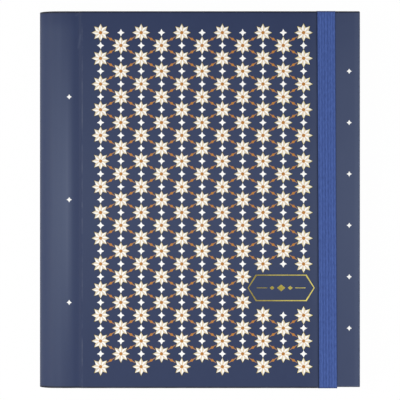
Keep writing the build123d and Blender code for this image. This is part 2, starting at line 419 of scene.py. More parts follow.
def ruledPaper(name, low, high):
    material, shader, coords, grain = startMaterial(name, ruledLook["grainScale"])
    sheet = mixColour(grain["Mottle"], ruledLook["dark"], ruledLook["light"])
    spot = axes(coords)
    margin = ruledLook["margin"]
    phase = mathNode("FRACT", mathNode("DIVIDE", spot["Y"], ruledLook["lineGap"]))
    line = mathNode("LESS_THAN", phase, ruledLook["lineWidth"] / ruledLook["lineGap"])
    for limit in (
        mathNode("GREATER_THAN", spot["X"], low.x + 2 * margin),
        mathNode("LESS_THAN", spot["X"], high.x - margin),
        mathNode("LESS_THAN", absolute(spot["Y"]), high.y - margin),
        mathNode("GREATER_THAN", absolute(upFacing(material.node_tree)), ruledLook["flat"]),
    ):
        line = times(line, limit)
    setLook(shader, mixColour(line, sheet, ruledLook["ink"]), grain, plainLook)
    return material


inkLook = {"grainScale": 2600.0, "shade": 0.9, "roughSpread": 0.06}


def printInk(name, colour, rough=0.5):
    shade = tuple(channel * inkLook["shade"] for channel in colour)
    spread = inkLook["roughSpread"]
    return grained(name, shade, colour, {**inkLook, "rough": (rough - spread, rough + spread)})


foilLook = {
    "dull": (0.30, 0.22, 0.03),
    "bright": (1.0, 0.86, 0.21),
    "highlightRamp": (0.15, 0.95),  # painted highlight: brighter foil towards the fore edge
    "uneven": 1.0,
    "metal": 0.8,
    "rough": (0.22, 0.42),
    "grainScale": 900.0,
}


def goldFoil(name, fromX, toX):
    material, shader, coords, grain = startMaterial(name, foilLook["grainScale"])
    # painted highlight: the foil turns brighter towards the fore edge
    highlightRamp = mapped(axes(coords)["X"], fromX, toX, *foilLook["highlightRamp"])
    uneven = times(minus(grain["Mottle"], 0.5), foilLook["uneven"])
    colour = mixColour(plus(highlightRamp, uneven, True), foilLook["dull"], foilLook["bright"])
    shader["Metallic"].default_value = foilLook["metal"]
    setLook(shader, colour, grain, foilLook)
    return material


# 1. covers: painted light is across times ends, plus ridge times upward, plus crease highlights
even = [(0.0, 1.0), (1.0, 1.0)]
panelLightAndWear = {"ends": even, "ridge": even, "creaseHighlights": [], "endShade": (0.4 * mm, 1.3 * mm), "rough": (0.48, 0.56),
             "rubReach": 0.0}
# painted light ramps for each cover, with its painted end shade, roughness and edge rub
coverLightAndWear = {
    "front": {
        **panelLightAndWear,
        "across": [(0.0, 0.0), (0.8, 0.03), (0.9, 0.3), (0.975, 0.34), (0.988, 0.5), (1.0, 0.45)],
        "upward": [(0.0, 0.05), (0.5, 0.27), (0.78, 0.18), (1.0, 0.0)],
    },
    "back": {
        **panelLightAndWear,
        "across": [(0.0, 0.05), (1.0, 0.2)],
        "upward": [(0.0, 0.1), (0.5, 0.2), (1.0, 0.0)],
    },
    "spine": {
        "across": [(0.0, 0.36), (0.1, 0.26), (0.2, 0.25), (0.37, 0.35), (0.48, 0.42), (0.57, 0.29),
                   (0.68, 0.22), (0.77, 0.18), (0.86, 0.08), (1.0, 0.06)],
        "ends": [(0.0, 0.78), (0.06, 0.9), (0.13, 1.0), (0.94, 1.0), (0.985, 0.4), (1.0, 0.35)],
        "upward": [(0.0, 0.0), (0.5, 1.0), (1.0, 0.0)],
        "ridge": [(0.1, 0.0), (0.23, 0.1), (0.37, 0.35), (0.48, 0.38), (0.6, 0.62), (0.66, 0.8), (0.72, 0.5),
                  (0.8, 0.15), (1.0, 0.04)],
        # painted highlights along two creases near the head
        "creaseHighlights": [((-69.3 * mm, 87.0 * mm), (-68.0 * mm, 94.3 * mm)),
                    ((-70.6 * mm, 105.6 * mm), (-69.1 * mm, 107.0 * mm))],
        "endShade": (0.65 * mm, 1.4 * mm),
        "rough": (0.58, 0.66),
        "rubReach": 1.0,  # no rub along its two inner sides
    },
}
cornerShape = {
    "radius": {1: 0.8 * mm, -1: 0.4 * mm},  # plan rounding at head and tail
    "steps": 4,
    "roll": 0.9 * mm,  # how the sheet rolls over head and tail
    "rollShare": 0.99,
    "hingeGap": 0.5 * mm,  # the roll is drawn this far to meet the spine
    "hingeReach": 0.01 * mm,
    "tailLift": 0.64 * mm,  # beyond the band the tail is cut shorter
    "tailDepth": 1.5 * mm,
    "weld": 0.001 * mm,
    "cutReach": 0.0001 * mm,
    "flat": 0.9999,
}


def softCorners(name, body, slot, material, nodeName, lift=0.0):
    # a layer of the cover again, with the fore-edge corners worn round
    low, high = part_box(nodeName)
    build = bmesh.new()
    build.from_mesh(frame["nodes"][nodeName].data)
    bmesh.ops.remove_doubles(build, verts=build.verts, dist=cornerShape["weld"])
    cuts = [((x, 0, 0), (1, 0, 0)) for x in (bandLow.x, bandHigh.x)]
    for sign, radius in cornerShape["radius"].items():
        for step in range(cornerShape["steps"]):
            reach = radius * (1 - step / cornerShape["steps"])
            cuts += [((high.x - reach, 0, 0), (1, 0, 0)), ((0, sign * (high.y - reach), 0), (0, 1, 0))]
    reach = cornerShape["cutReach"]
    for spot, across in cuts:
        whole = build.verts[:] + build.edges[:] + build.faces[:]
        bmesh.ops.bisect_plane(build, geom=whole, dist=reach, plane_co=spot, plane_no=across)
    roll = cornerShape["roll"]
    for vert in build.verts:
        x, y, z = vert.co
        for sign, radius in cornerShape["radius"].items():
            inX, inY = x - high.x + radius, sign * y - high.y + radius
            if inX > 0 and inY > 0:
                draw = max(inX, inY) / math.hypot(inX, inY) - 1
                vert.co.x += inX * draw
                vert.co.y += sign * inY * draw
        if y < low.y + cornerShape["tailDepth"]:
            vert.co.y += lift * min(max((x - bandLow.x) / (bandHigh.x - bandLow.x), 0), 1)
        inY, inZ = abs(y) - high.y + roll, abs(z - coverTop / 2) - coverTop / 2 + roll
        byHinge = abs(x - low.x - cornerShape["hingeGap"]) < cornerShape["hingeReach"]
        if byHinge and inY > 0 and math.hypot(inY, inZ) > cornerShape["rollShare"] * roll:
            vert.co.x = low.x
    bmesh.ops.remove_doubles(build, verts=build.verts, dist=cornerShape["weld"])
    build.normal_update()
    for face in build.faces:
        face.smooth = True
    for edge in build.edges:  # only the rounds shade smoothly
        edge.smooth = all(max(map(abs, face.normal)) < cornerShape["flat"] for face in edge.link_faces)
    mesh = bpy.data.meshes.new(name)
    build.to_mesh(mesh)
    build.free()
    return place(name, mesh, body, slot, material, nodeName)


frontNavy = navyPaper("navy cover paper, front", frontLow, frontHigh, coverLightAndWear["front"])
backNavy = navyPaper("navy cover paper, back", backLow, backHigh, coverLightAndWear["back"])
spineNavy = navyPaper("navy cover paper, spine", spineLow, spineHigh, coverLightAndWear["spine"])
boardGrey = grained("grey binder board", (0.26, 0.25, 0.23), (0.40, 0.38, 0.35), plainLook)
endpaperCream = grained("cream endpaper", (0.70, 0.65, 0.55), (0.80, 0.76, 0.67), plainLook)
stubCream = grained("cream stub card", (0.66, 0.62, 0.53), (0.76, 0.72, 0.63), plainLook)
tailLift = cornerShape["tailLift"]
softCorners("front_wrap", "front_cover", "cover_paper", frontNavy, "front_cover_paper", tailLift)
softCorners("front_core", "front_cover", "board", boardGrey, "front_board", tailLift)
softCorners("back_wrap", "back_cover", "cover_paper", backNavy, "back_cover_paper")
finishNode("back_board", boardGrey)
finishNode("front_endpaper", endpaperCream)
finishNode("back_endpaper", endpaperCream)
finishNode("binding_stub", stubCream)
print("covers finished")


# 2. rounded spine: three layers
spineShape = {
    "crownWidth": 17.6 * mm,  # from the spine's edge to the top of its crown
    "valleyBack": 1.8 * mm,  # from the cover's edge to the bottom of the groove
    "shoulder": 4.6 * mm,  # how far the strip takes to slope down into it
    "grooveDepth": 0.28 * mm,
    "card": 0.5 * mm,
    "lining": 0.2 * mm,
    "trim": 0.1 * mm,
    "bendEnd": 1.0 * mm,  # how far inside the covers' faces the bend starts and stops
    "sharpAngle": 40,
    "flatSteps": 30,
    "crownSteps": 12,
    "roundSteps": 48,
    "heightSteps": 12,
}
roundRadius = hingeX - spineLow.x
crownX = spineLow.x + spineShape["crownWidth"]
crownRise = hingeZ - roundRadius
crownRadius = roundRadius + ((crownX - hingeX) ** 2 + crownRise**2) / (2 * crownRise)
crownTurn = math.asin((crownX - hingeX) / (crownRadius - roundRadius))


def grooveDip(x):
    valley = spineHigh.x - spineShape["valleyBack"]
    reach = spineShape["shoulder"] if x < valley else spineShape["valleyBack"]
    away = min(abs(x - valley) / reach, 1.0)
    return spineShape["grooveDepth"] * 0.5 * (1 + math.cos(math.pi * away))


def spineProfile(inset, endX):
    steps = spineShape["flatSteps"]
    front = []
    for step in range(steps + 1):
        x = endX + (crownX - endX) * step / steps
        front.append((x, coverTop - inset - grooveDip(x)))
    for step in range(1, spineShape["crownSteps"] + 1):
        turn = crownTurn * step / spineShape["crownSteps"]
        reach = crownRadius - inset
        front.append((crownX - reach * math.sin(turn), coverTop - crownRadius + reach * math.cos(turn)))
    edge = []
    for step in range(1, spineShape["roundSteps"]):
        turn = crownTurn + (math.pi - 2 * crownTurn) * step / spineShape["roundSteps"]
        reach = roundRadius - inset
        edge.append((hingeX - reach * math.sin(turn), hingeZ + reach * math.cos(turn)))
    return front + edge + [(x, coverTop - z) for x, z in reversed(front)]


def spineLayer(name, outerInset, innerInset, trim, material, nodeName):
    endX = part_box(nodeName)[1].x
    ring = spineProfile(outerInset, endX) + spineProfile(innerInset, endX)[::-1]
    steps = spineShape["heightSteps"]
    low, high = spineLow.y + trim, spineHigh.y - trim
    verts = [(x, low + (high - low) * row / steps, z) for row in range(steps + 1) for x, z in ring]
    mesh = makeMesh(name, verts, sweptFaces(len(ring), steps + 1), spineShape["sharpAngle"])
    piece = linkPiece(name, mesh)
    piece.data.materials.append(material)
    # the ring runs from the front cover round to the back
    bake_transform(piece)
    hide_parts(nodeName)


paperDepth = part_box("spine_card")[0].z - spineLow.z
cardDepth = paperDepth + spineShape["card"]
liningDepth = cardDepth + spineShape["lining"]
cardGrey = grained("thin grey card", (0.34, 0.32, 0.28), (0.50, 0.47, 0.42), plainLook)
kraft = grained("kraft lining", (0.46, 0.38, 0.27), (0.60, 0.52, 0.40), plainLook)
spineLayer("spine_cover", 0.0, paperDepth, spineShape["trim"], spineNavy, "spine_cover_paper")
spineLayer("spine_stiffener", paperDepth, cardDepth, paperDepth, cardGrey, "spine_card")
spineLayer("spine_inner_lining", cardDepth, liningDepth, paperDepth, kraft, "spine_lining")
print("spine bent")


# 3. twin-loop wire: one pair of loops, repeated along the spine
wireLow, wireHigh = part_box("twin_loop_wire")
wireShape = {
    "thickness": 1.2 * mm,
    "pitch": 12.7 * mm,
    "spacing": 3.0 * mm,
    "bend": 1.5 * mm,  # bend radius at the tips and links
    "linkAngle": 250.0,
    "tipAngle": -75.8,
    "ringSteps": 40,
    "bendSteps": 6,
    "sides": 10,
    "weld": 0.01 * mm,
}
wireShape["count"] = round((wireHigh.y - wireLow.y) / wireShape["pitch"])
wireShape["radius"] = wireHigh.x - hingeX - wireShape["thickness"] / 2


def wirePath():
    # flat layout first: place along the spine, distance round the ring
    radius, bend, half = wireShape["radius"], wireShape["bend"], wireShape["spacing"] / 2
    link, tip = math.radians(wireShape["linkAngle"]) * radius, math.radians(wireShape["tipAngle"]) * radius
    steps = wireShape["bendSteps"]
    quarter = [math.pi / 2 * step / steps for step in range(steps + 1)]
    side = [(half + bend - bend * math.cos(t), link - bend + bend * math.sin(t)) for t in quarter]
    tipBend = min(bend, half)
    arms = wireShape["ringSteps"]
    armLow, armHigh = tip + tipBend, link - bend
    arm = [(half, armLow + (armHigh - armLow) * step / arms) for step in range(1, arms)]
    turn = [(tipBend * math.sin(t), armLow - tipBend * math.cos(t)) for t in quarter]
    right = turn + arm + side + [(wireShape["pitch"] / 2, link)]
    flat = [(-y, around) for y, around in reversed(right[1:])] + right
    path = []
    for y, around in flat:
        angle = around / radius
        path.append((hingeX + radius * math.cos(angle), y, hingeZ + radius * math.sin(angle)))
    return path


def makeWireTree():
    tree, given, result = openPieceTree(
        "twinLoops", {"thickness": 0.001, "sides": 8, "count": 4, "pitch": 0.01, "weld": 0.00001})
    radius = times(given["thickness"], 0.5)
    profile = shapeNode(tree, "CurvePrimitiveCircle", {"Resolution": given["sides"], "Radius": radius})
    tube = shapeNode(tree, "CurveToMesh", {"Curve": given["Geometry"], "Profile Curve": profile})
    span = times(minus(given["count"], 1.0), given["pitch"])
    row = shapeNode(tree, "MeshLine", {
        "Count": given["count"], "Start Location": vectorOf(tree, {"Y": times(span, -0.5)}),
        "Offset": vectorOf(tree, {"Y": given["pitch"]})})
    loops = shapeNode(tree, "InstanceOnPoints", {"Points": row, "Instance": tube})
    real = shapeNode(tree, "RealizeInstances", {"Geometry": loops})
    whole = shapeNode(tree, "MergeByDistance", {"Geometry": real, "Distance": given["weld"]})
    return closePieceTree(shapeNode(tree, "SetShadeSmooth", {"Geometry": whole}), given, result)


def wireCurve():
    points = wirePath()
    curve = bpy.data.curves.new("loopPath", "CURVE")
    curve.dimensions = "3D"
    spline = curve.splines.new("POLY")
    spline.points.add(len(points) - 1)
    for target, point in zip(spline.points, points):
        target.co = (*point, 1.0)
    return curve


coatLook = {"rough": (0.3, 0.42), "grainScale": 1200.0}
wireWhite = grained("white coated wire", (0.72, 0.72, 0.72), (0.82, 0.82, 0.81), coatLook)
treePiece("binding_wire", wireCurve(), makeWireTree(), wireShape, "back_cover", "binding_wire", wireWhite,
          "twin_loop_wire")
print("wire wound:", wireShape["count"], "loop pairs")


# 4. leaf sections: stacks of punched, ruled sheets
leafShape = {
    "sheets": 9,
    "sheetThickness": 0.1 * mm,
    "cornerRadius": 3.0 * mm,
    "cornerSteps": 6,
    "holeWidth": 5.5 * mm,
    "holeFrom": 1.9 * mm,  # binding edge to hole
    "holeClearance": 0.2 * mm,
    "looseness": 0.12 * mm,
    "seed": 7,
}


def sheetMesh(low, high):
    radius = leafShape["cornerRadius"]
    holeStart, holeEnd = low.x + leafShape["holeFrom"], wireHigh.x + leafShape["holeClearance"]
    columns = [low.x, holeStart, holeEnd, high.x - radius, high.x]
    span = (wireShape["count"] - 1) * wireShape["pitch"]
    rows = [low.y, low.y + radius]
    for loop in range(wireShape["count"]):
        middle = -span / 2 + loop * wireShape["pitch"]
        rows += [middle - leafShape["holeWidth"] / 2, middle + leafShape["holeWidth"] / 2]
    rows += [high.y - radius, high.y]
    build = bmesh.new()
    grid = [[build.verts.new((x, y, 0)) for x in columns] for y in rows]
    lastRow, lastColumn = len(rows) - 2, len(columns) - 2
    for r in range(len(rows) - 1):
        for c in range(len(columns) - 1):
            inHole = c == 1 and r % 2 == 0 and 1 < r < lastRow
            inCorner = c == lastColumn and r in (0, lastRow)
            if not inHole and not inCorner:
                build.faces.new((grid[r][c], grid[r][c + 1], grid[r + 1][c + 1], grid[r + 1][c]))
    for inner, outer, sign in ((grid[1], grid[0], -1), (grid[lastRow], grid[lastRow + 1], 1)):
        centre = inner[lastColumn].co
        arc = []
        for step in range(1, leafShape["cornerSteps"]):
            angle = math.pi / 2 * step / leafShape["cornerSteps"]
            outward = Vector((math.cos(angle), sign * math.sin(angle), 0))
            arc.append(build.verts.new(centre + radius * outward))
        build.faces.new([inner[lastColumn], inner[lastColumn + 1], *arc, outer[lastColumn]])
    loose = [vert for vert in build.verts if not vert.link_faces]
    bmesh.ops.delete(build, geom=loose, context="VERTS")
    top = bmesh.ops.extrude_face_region(build, geom=build.faces[:])
    for item in top["geom"]:
        if isinstance(item, bmesh.types.BMVert):
            item.co.z += leafShape["sheetThickness"]
    bmesh.ops.recalc_face_normals(build, faces=build.faces)
    mesh = bpy.data.meshes.new("sheet")
    build.to_mesh(mesh)
    build.free()
    return mesh


def makeStackTree():
    tree, given, result = openPieceTree(
        "leafStack", {"sheets": 4, "step": 0.0001, "bottom": 0.0, "looseness": 0.0, "seed": 0})
    line = shapeNode(tree, "MeshLine", {
        "Count": given["sheets"], "Start Location": vectorOf(tree, {"Z": given["bottom"]}),
        "Offset": vectorOf(tree, {"Z": given["step"]})})
    slip = addNode(tree, "FunctionNodeRandomValue", {
        "Min": (-1, -1, 0), "Max": (1, 1, 0), "Seed": given["seed"]}, data_type="FLOAT_VECTOR")[0]
    moved = shapeNode(tree, "SetPosition", {
        "Geometry": line, "Offset": scaled(tree, slip, given["looseness"])})
    sheets = shapeNode(tree, "InstanceOnPoints", {"Points": moved, "Instance": given["Geometry"]})
    return closePieceTree(sheets, given, result)


stackTree = makeStackTree()
ruled = ruledPaper("ruled leaf paper", *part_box("leaves_ab"))
sheet = sheetMesh(*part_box("leaves_ab"))
for index, name in enumerate(sectionNames):
    low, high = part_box("leaves_" + name)
    step = (high.z - low.z - leafShape["sheetThickness"]) / (leafShape["sheets"] - 1)
    sizes = {**leafShape, "step": step, "bottom": low.z, "seed": leafShape["seed"] + index}
    treePiece("sheets_" + name, sheet, stackTree, sizes, "section_" + name, "leaf_paper", ruled,
              "leaves_" + name)
print("leaves stacked:", len(sectionNames), "sections")


# 5. index tabs with their letters on both sides
tabLook = {
    "colours": [(0.62, 0.24, 0.03), (0.66, 0.53, 0.36), (0.055, 0.080, 0.20)],
    "rough": 0.35,
    "letters": (0.86, 0.83, 0.74),
    "letterHeight": 4.6 * mm,
    "bodyShare": 1.4,  # type body to letter height
    "letterRelief": 0.02 * mm,
    "letterLift": 0.01 * mm,
    "curveSteps": 3,
}
tabInks = []
for index, colour in enumerate(tabLook["colours"]):
    tabInks.append(printInk("tab colour " + str(index + 1), colour, tabLook["rough"]))
letterInk = printInk("tab lettering", tabLook["letters"])


def letterMesh(text, centre, flip):
    curve = bpy.data.curves.new("letters", "FONT")
    curve.body = text
    curve.size = tabLook["letterHeight"] * tabLook["bodyShare"]
    curve.align_x, curve.align_y = "CENTER", "CENTER"
    curve.extrude = tabLook["letterRelief"]
    curve.resolution_u = tabLook["curveSteps"]
    holder = linkPiece("letters", curve)
    mesh = bpy.data.meshes.new_from_object(holder.evaluated_get(bpy.context.evaluated_depsgraph_get()))
    bpy.data.objects.remove(holder)
    for vert in mesh.vertices:
        x, y, z = vert.co  # letters read from the fore edge
        vert.co = (centre.x + y, centre.y - flip * x, centre.z + flip * z)
    return mesh


for index, name in enumerate(sectionNames):
    finishNode("tab_" + name, tabInks[index % len(tabInks)])
    low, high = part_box("tab_" + name)
    x = (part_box("leaves_" + name)[1].x + high.x) / 2
    y = (low.y + high.y) / 2
    lift = tabLook["letterLift"]
    for side, z, flip in (("top", high.z + lift, 1), ("under", low.z - lift, -1)):
        mesh = letterMesh(name.upper(), Vector((x, y, z)), flip)
        place("letters_" + name + "_" + side, mesh, "section_" + name, "tab_card", letterInk)
print("tabs lettered")


# 6. elastic band: a ribbon round head and tail, ribbed by nodes
bandShape = {
    # drawn wider than the woven part, to carry the painted shadow strips along its sides
    "width": 10.9 * mm,
    "skew": 1.1 * mm,  # how far it leans over the cover's height
    "thickness": 0.18 * mm,
    "underside": 0.06 * mm,  # clears the raised print
    "wrapThickness": 0.05 * mm,  # stretched thin round head and tail
    "edgeGap": 0.005 * mm,
    "ribs": 7,
    "ribHeight": 0.09 * mm,
    "wrapRib": 0.2,  # ribs are pulled flat round head and tail
    "pointsPerRib": 6,
    "bend": 0.7 * mm,
    "bendSteps": 6,
    "frontSteps": 60,
    "endLength": 14.0 * mm,
    "openShare": 0.03,  # what is left of its height when the book lies open
}
bandLean = math.atan(bandShape["skew"] / (frontHigh.y - frontLow.y))
bandMiddleX = (bandLow.x + bandHigh.x) / 2
bandEdge = frontHigh.y + bandShape["edgeGap"] + bandShape["wrapThickness"]


def bandPath():
    # middle line in the band's own plane: place along it, height, and the outward direction there
    bend = bandShape["bend"]
    outY = frontHigh.y + bandShape["edgeGap"] + bandShape["wrapThickness"] / 2
    topZ = coverTop + bandShape["underside"] + bandShape["thickness"] / 2
    endZ = bandLow.z + bandShape["thickness"] / 2
    reach = outY - bend
    steps = bandShape["bendSteps"]
    quarter = [math.pi / 2 * step / steps for step in range(steps + 1)]
    half = [(outY - bandShape["endLength"], endZ, 0, -1)]
    for t in quarter:
        half.append((reach + bend * math.sin(t), endZ + bend - bend * math.cos(t), math.sin(t), -math.cos(t)))
    for t in quarter:
        half.append((reach + bend * math.cos(t), topZ - bend + bend * math.sin(t), math.cos(t), math.sin(t)))
    front = []
    for step in range(1, bandShape["frontSteps"]):
        front.append((reach - 2 * reach * step / bandShape["frontSteps"], topZ, 0, 1))
    return half + front + [(-y, z, -outwardY, outwardZ) for y, z, outwardY, outwardZ in reversed(half)]


def bandMesh():
    path = bandPath()
    last = bandShape["ribs"] * bandShape["pointsPerRib"]
    parts = [k / last for k in range(last + 1)]
    thin = bandShape["wrapThickness"]
    verts, outerMark, share, travel = [], [], [], []
    length = 0.0
    for index, (y, z, outwardY, outwardZ) in enumerate(path):
        if index:
            length += math.hypot(y - path[index - 1][0], z - path[index - 1][1])
        half = (thin + (bandShape["thickness"] - thin) * abs(outwardZ)) / 2
        for side, order in ((1, parts), (-1, parts[::-1])):
            py, pz = y + side * half * outwardY, z + side * half * outwardZ
            for part in order:
                offset = (part - 0.5) * bandShape["width"]
                verts.append((bandMiddleX + offset - py * math.tan(bandLean), py, pz))
                outerMark.append(max(abs(outwardZ), bandShape["wrapRib"]) if side > 0 else 0.0)
                share.append(part)
                travel.append(length)
    mesh = makeMesh("elastic", verts, sweptFaces(2 * len(parts), len(path)))
    for label, values in (("outerSide", outerMark), ("acrossBand", share), ("alongBand", travel)):
        mesh.attributes.new(label, "FLOAT", "POINT").data.foreach_set("value", values)
    return mesh


def makeRibTree():
    tree, given, result = openPieceTree("elasticRibs", {"ribs": 6, "ribHeight": 0.0001})
    outer, across = (addNode(tree, "GeometryNodeInputNamedAttribute", {"Name": label}, data_type="FLOAT")[0]
                     for label in ("outerSide", "acrossBand"))
    crest = absolute(mathNode("SINE", times(times(across, given["ribs"]), math.pi)))
    height = times(times(crest, given["ribHeight"]), outer)
    normal = tree.nodes.new("GeometryNodeInputNormal").outputs[0]
    raised = shapeNode(tree, "SetPosition", {
        "Geometry": given["Geometry"], "Offset": scaled(tree, normal, height)})
    return closePieceTree(shapeNode(tree, "SetShadeSmooth", {"Geometry": raised}), given, result)


wovenLook = {
    # painted highlight on the rib crests and painted shade in the valleys between them
    "valley": (0.020, 0.045, 0.178),
    "crest": (0.056, 0.104, 0.320),
    # painted shadow along both sides of the band, darker on the left
    "edgeShadowTint": (0.006, 0.013, 0.045),
    "edgeShadowShare": [(0.0, 1.0), (0.05, 0.95), (0.085, 0.0), (0.95, 0.0), (0.98, 0.4), (1.0, 0.45)],
    "baseShare": 0.1,
    "ribLightShare": 0.5,
    "threadShare": 0.3,
    "strands": 9.0,
    "strandMix": 0.5,  # how much one strand differs from the next
    "slubs": 15.0,  # uneven yarn: strands across the band, and how far one runs
    "slubLength": 2.6 * mm,
    "slubMix": 0.8,
    "rowGap": 0.42 * mm,
    "rowLean": 1.2,
    "rowSwing": 0.25,
    "threadHeight": 0.05 * mm,
    "threadBump": 0.5,
    "endShade": (0.65 * mm, 1.1 * mm),  # painted shade: a darker line at head and tail
    "endShadeShare": 0.42,
    "sheen": 0.04,
    "shine": 0.25,
    "rough": (0.7, 0.85),
    "grainScale": 3000.0,
}


def wovenElastic(name):
    material, shader, coords, grain = startMaterial(name, wovenLook["grainScale"])
    tree = material.node_tree
    across, along = (addNode(tree, "ShaderNodeAttribute", attribute_name=label)["Fac"]
                     for label in ("acrossBand", "alongBand"))
    ribPhase = times(across, bandShape["ribs"] * math.pi)
    # painted rib light: lighter on each crest, darker in each valley
    crest = absolute(mathNode("SINE", ribPhase))
    lean = times(mathNode("COSINE", ribPhase), wovenLook["rowLean"])
    rows = mathNode("SINE", plus(times(along, 2 * math.pi / wovenLook["rowGap"]), lean))
    thread = plus(times(rows, wovenLook["rowSwing"]), 0.5)
    shade = plus(times(crest, wovenLook["ribLightShare"]), times(thread, wovenLook["threadShare"]))
    shade = plus(shade, wovenLook["baseShare"])
    strandAt = times(across, wovenLook["strands"])
    strand = noise(tree, {"W": strandAt, "Scale": 1.0, "Detail": 0.0}, noise_dimensions="1D")
    slubAt = vectorOf(tree, {"X": times(across, wovenLook["slubs"]),
                             "Y": mathNode("DIVIDE", along, wovenLook["slubLength"])})
    slub = noise(tree, {"Vector": slubAt, "Scale": 1.0, "Detail": 1.0}, noise_dimensions="2D")
    for yarn, mix in ((strand, wovenLook["strandMix"]), (slub, wovenLook["slubMix"])):
        shade = plus(shade, times(minus(yarn, 0.5), mix))
    shade = times(shade, plus(grain["Mottle"], 0.5), True)
    woven = mixColour(shade, wovenLook["valley"], wovenLook["crest"])
    # painted shade along head and tail of the band
    endShade = times(paintedEndShadeMask(axes(coords)["Y"], bandEdge, wovenLook["endShade"]), wovenLook["endShadeShare"])
    # painted shadow along the band's sides, joined with the painted end shade
    edges = mathNode("MAXIMUM", levels(across, 0.0, 1.0, wovenLook["edgeShadowShare"]), endShade)
    shader["Sheen Weight"].default_value = wovenLook["sheen"]
    shader["Specular IOR Level"].default_value = wovenLook["shine"]
    setLook(shader, mixColour(edges, woven, wovenLook["edgeShadowTint"]), grain, wovenLook)
    setBump(shader, thread, wovenLook["threadBump"], wovenLook["threadHeight"])
    return material


royalElastic = wovenElastic("royal blue woven elastic")
elastic = treePiece("elastic_ribbed", bandMesh(), makeRibTree(), bandShape, "back_cover", "elastic",
                    royalElastic, "elastic_band")
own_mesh(elastic)
print("elastic ribbed")


# 7. printed front panel: a trellis of eight-point stars
trellis = {
    "margin": 5.0 * mm,
    "bandMargin": 2.0 * mm,
    "columns": 11,
    "rows": 14,
    "endRoom": 0.9,  # share of a row kept clear at head and tail
    "relief": 0.03 * mm,
    "eyeRelief": 1.5,  # eyes and lozenges stand a little higher than the rest
    "lozengeRelief": 1.3,
    "star": (4.8 * mm, 2.9 * mm, 8),  # outer and inner radius, and points
    "outline": 0.2 * mm,
    "tipOutline": 2.2,  # how much longer it reaches at a point
    "eye": 1.0 * mm,
    "eyeSides": 10,
    "smallStar": (2.1 * mm, 1.0 * mm, 4),
    "strayStar": (1.5 * mm, 0.8 * mm, 4),  # few and far apart, beyond the hinge and the band
    "strayRows": {"spine": (3, 7, 11), "fore_edge": (2, 4, 6, 8, 10, 12)},
    "strayShift": 0.6 * mm,
    "straySink": 0.05 * mm,  # the spine's strip isn't quite flat
    "bar": 0.45 * mm,
    "barStart": 4.2 * mm,
    "lozenge": (1.5 * mm, 0.8 * mm),
}
# title place: a plain navy plate with a foil rule and a small ornament, clear of the trellis
plate = {
    "middle": (46.9 * mm, -50.5 * mm),
    "half": (19.8 * mm, 8.2 * mm),
    "point": 4.6 * mm,
    "lift": 0.06 * mm,
    "clear": (17.0 * mm, 12.6 * mm),
    "rule": 0.6 * mm,  # its width, and its distance from the edge
    "lozenges": {0: 2.4 * mm, -5.2 * mm: 1.4 * mm, 5.2 * mm: 1.4 * mm},  # place: half length
    "lozengeHeight": 0.8,
    "lines": (8.0 * mm, 14.0 * mm),
    "lineHalf": 0.2 * mm,
}
panelLow = Vector((frontLow.x + trellis["margin"], frontLow.y + trellis["margin"]))
panelHigh = Vector((bandLow.x - trellis["bandMargin"], frontHigh.y - trellis["margin"]))
panelMiddle = (panelLow + panelHigh) / 2
pitchX = (panelHigh.x - panelLow.x) / trellis["columns"]
pitchY = (panelHigh.y - panelLow.y) / trellis["rows"]
relief = trellis["relief"]


def raisedFaces(outlines, height):
    # closed low plates, each from a flat outline
    verts, faces = [], []
    for outline in outlines:
        base, count = len(verts), len(outline)
        verts += [(x, y, 0.0) for x, y in outline] + [(x, y, height) for x, y in outline]
        faces.append(tuple(range(base + count, base + 2 * count)))
        faces.append(tuple(range(base + count - 1, base - 1, -1)))
        for k in range(count):
            k2 = (k + 1) % count
            faces.append((base + k, base + k2, base + count + k2, base + count + k))
    return makeMesh("motif", verts, faces)


def polar(radius, angle):
    return (radius * math.cos(angle), radius * math.sin(angle))


def starRim(outer, inner, points):
    turns = [math.pi / 2 + math.pi * k / points for k in range(2 * points)]
    return [polar(inner if k % 2 else outer, turn) for k, turn in enumerate(turns)]


def starHalves(parity):
    rim = starRim(*trellis["star"])
    return [((0, 0), rim[k], rim[(k + 1) % len(rim)]) for k in range(parity, len(rim), 2)]


def between(outside, inside):
    # the strip between two rims, side by side
    count = len(inside)
    return [(inside[k], outside[k], outside[(k + 1) % count], inside[(k + 1) % count]) for k in range(count)]


def starOutline():
    outer, inner, points = trellis["star"]
    grow = trellis["outline"]
    outside = starRim(outer + trellis["tipOutline"] * grow, inner + grow, points)
    return between(outside, starRim(outer, inner, points))


def barShapes(sign):
    # one bar and its lozenge about the bar's middle, between a star and the next column's
    way = Vector((pitchX, sign * pitchY / 2))
    along = way.normalized()
    square = Vector((-along.y, along.x))
    reach = along * (way.length / 2 - trellis["barStart"])
    half = square * trellis["bar"] / 2
    long, short = along * trellis["lozenge"][0], square * trellis["lozenge"][1]
    return [-reach - half, reach - half, reach + half, half - reach], [long, short, -long, -short]


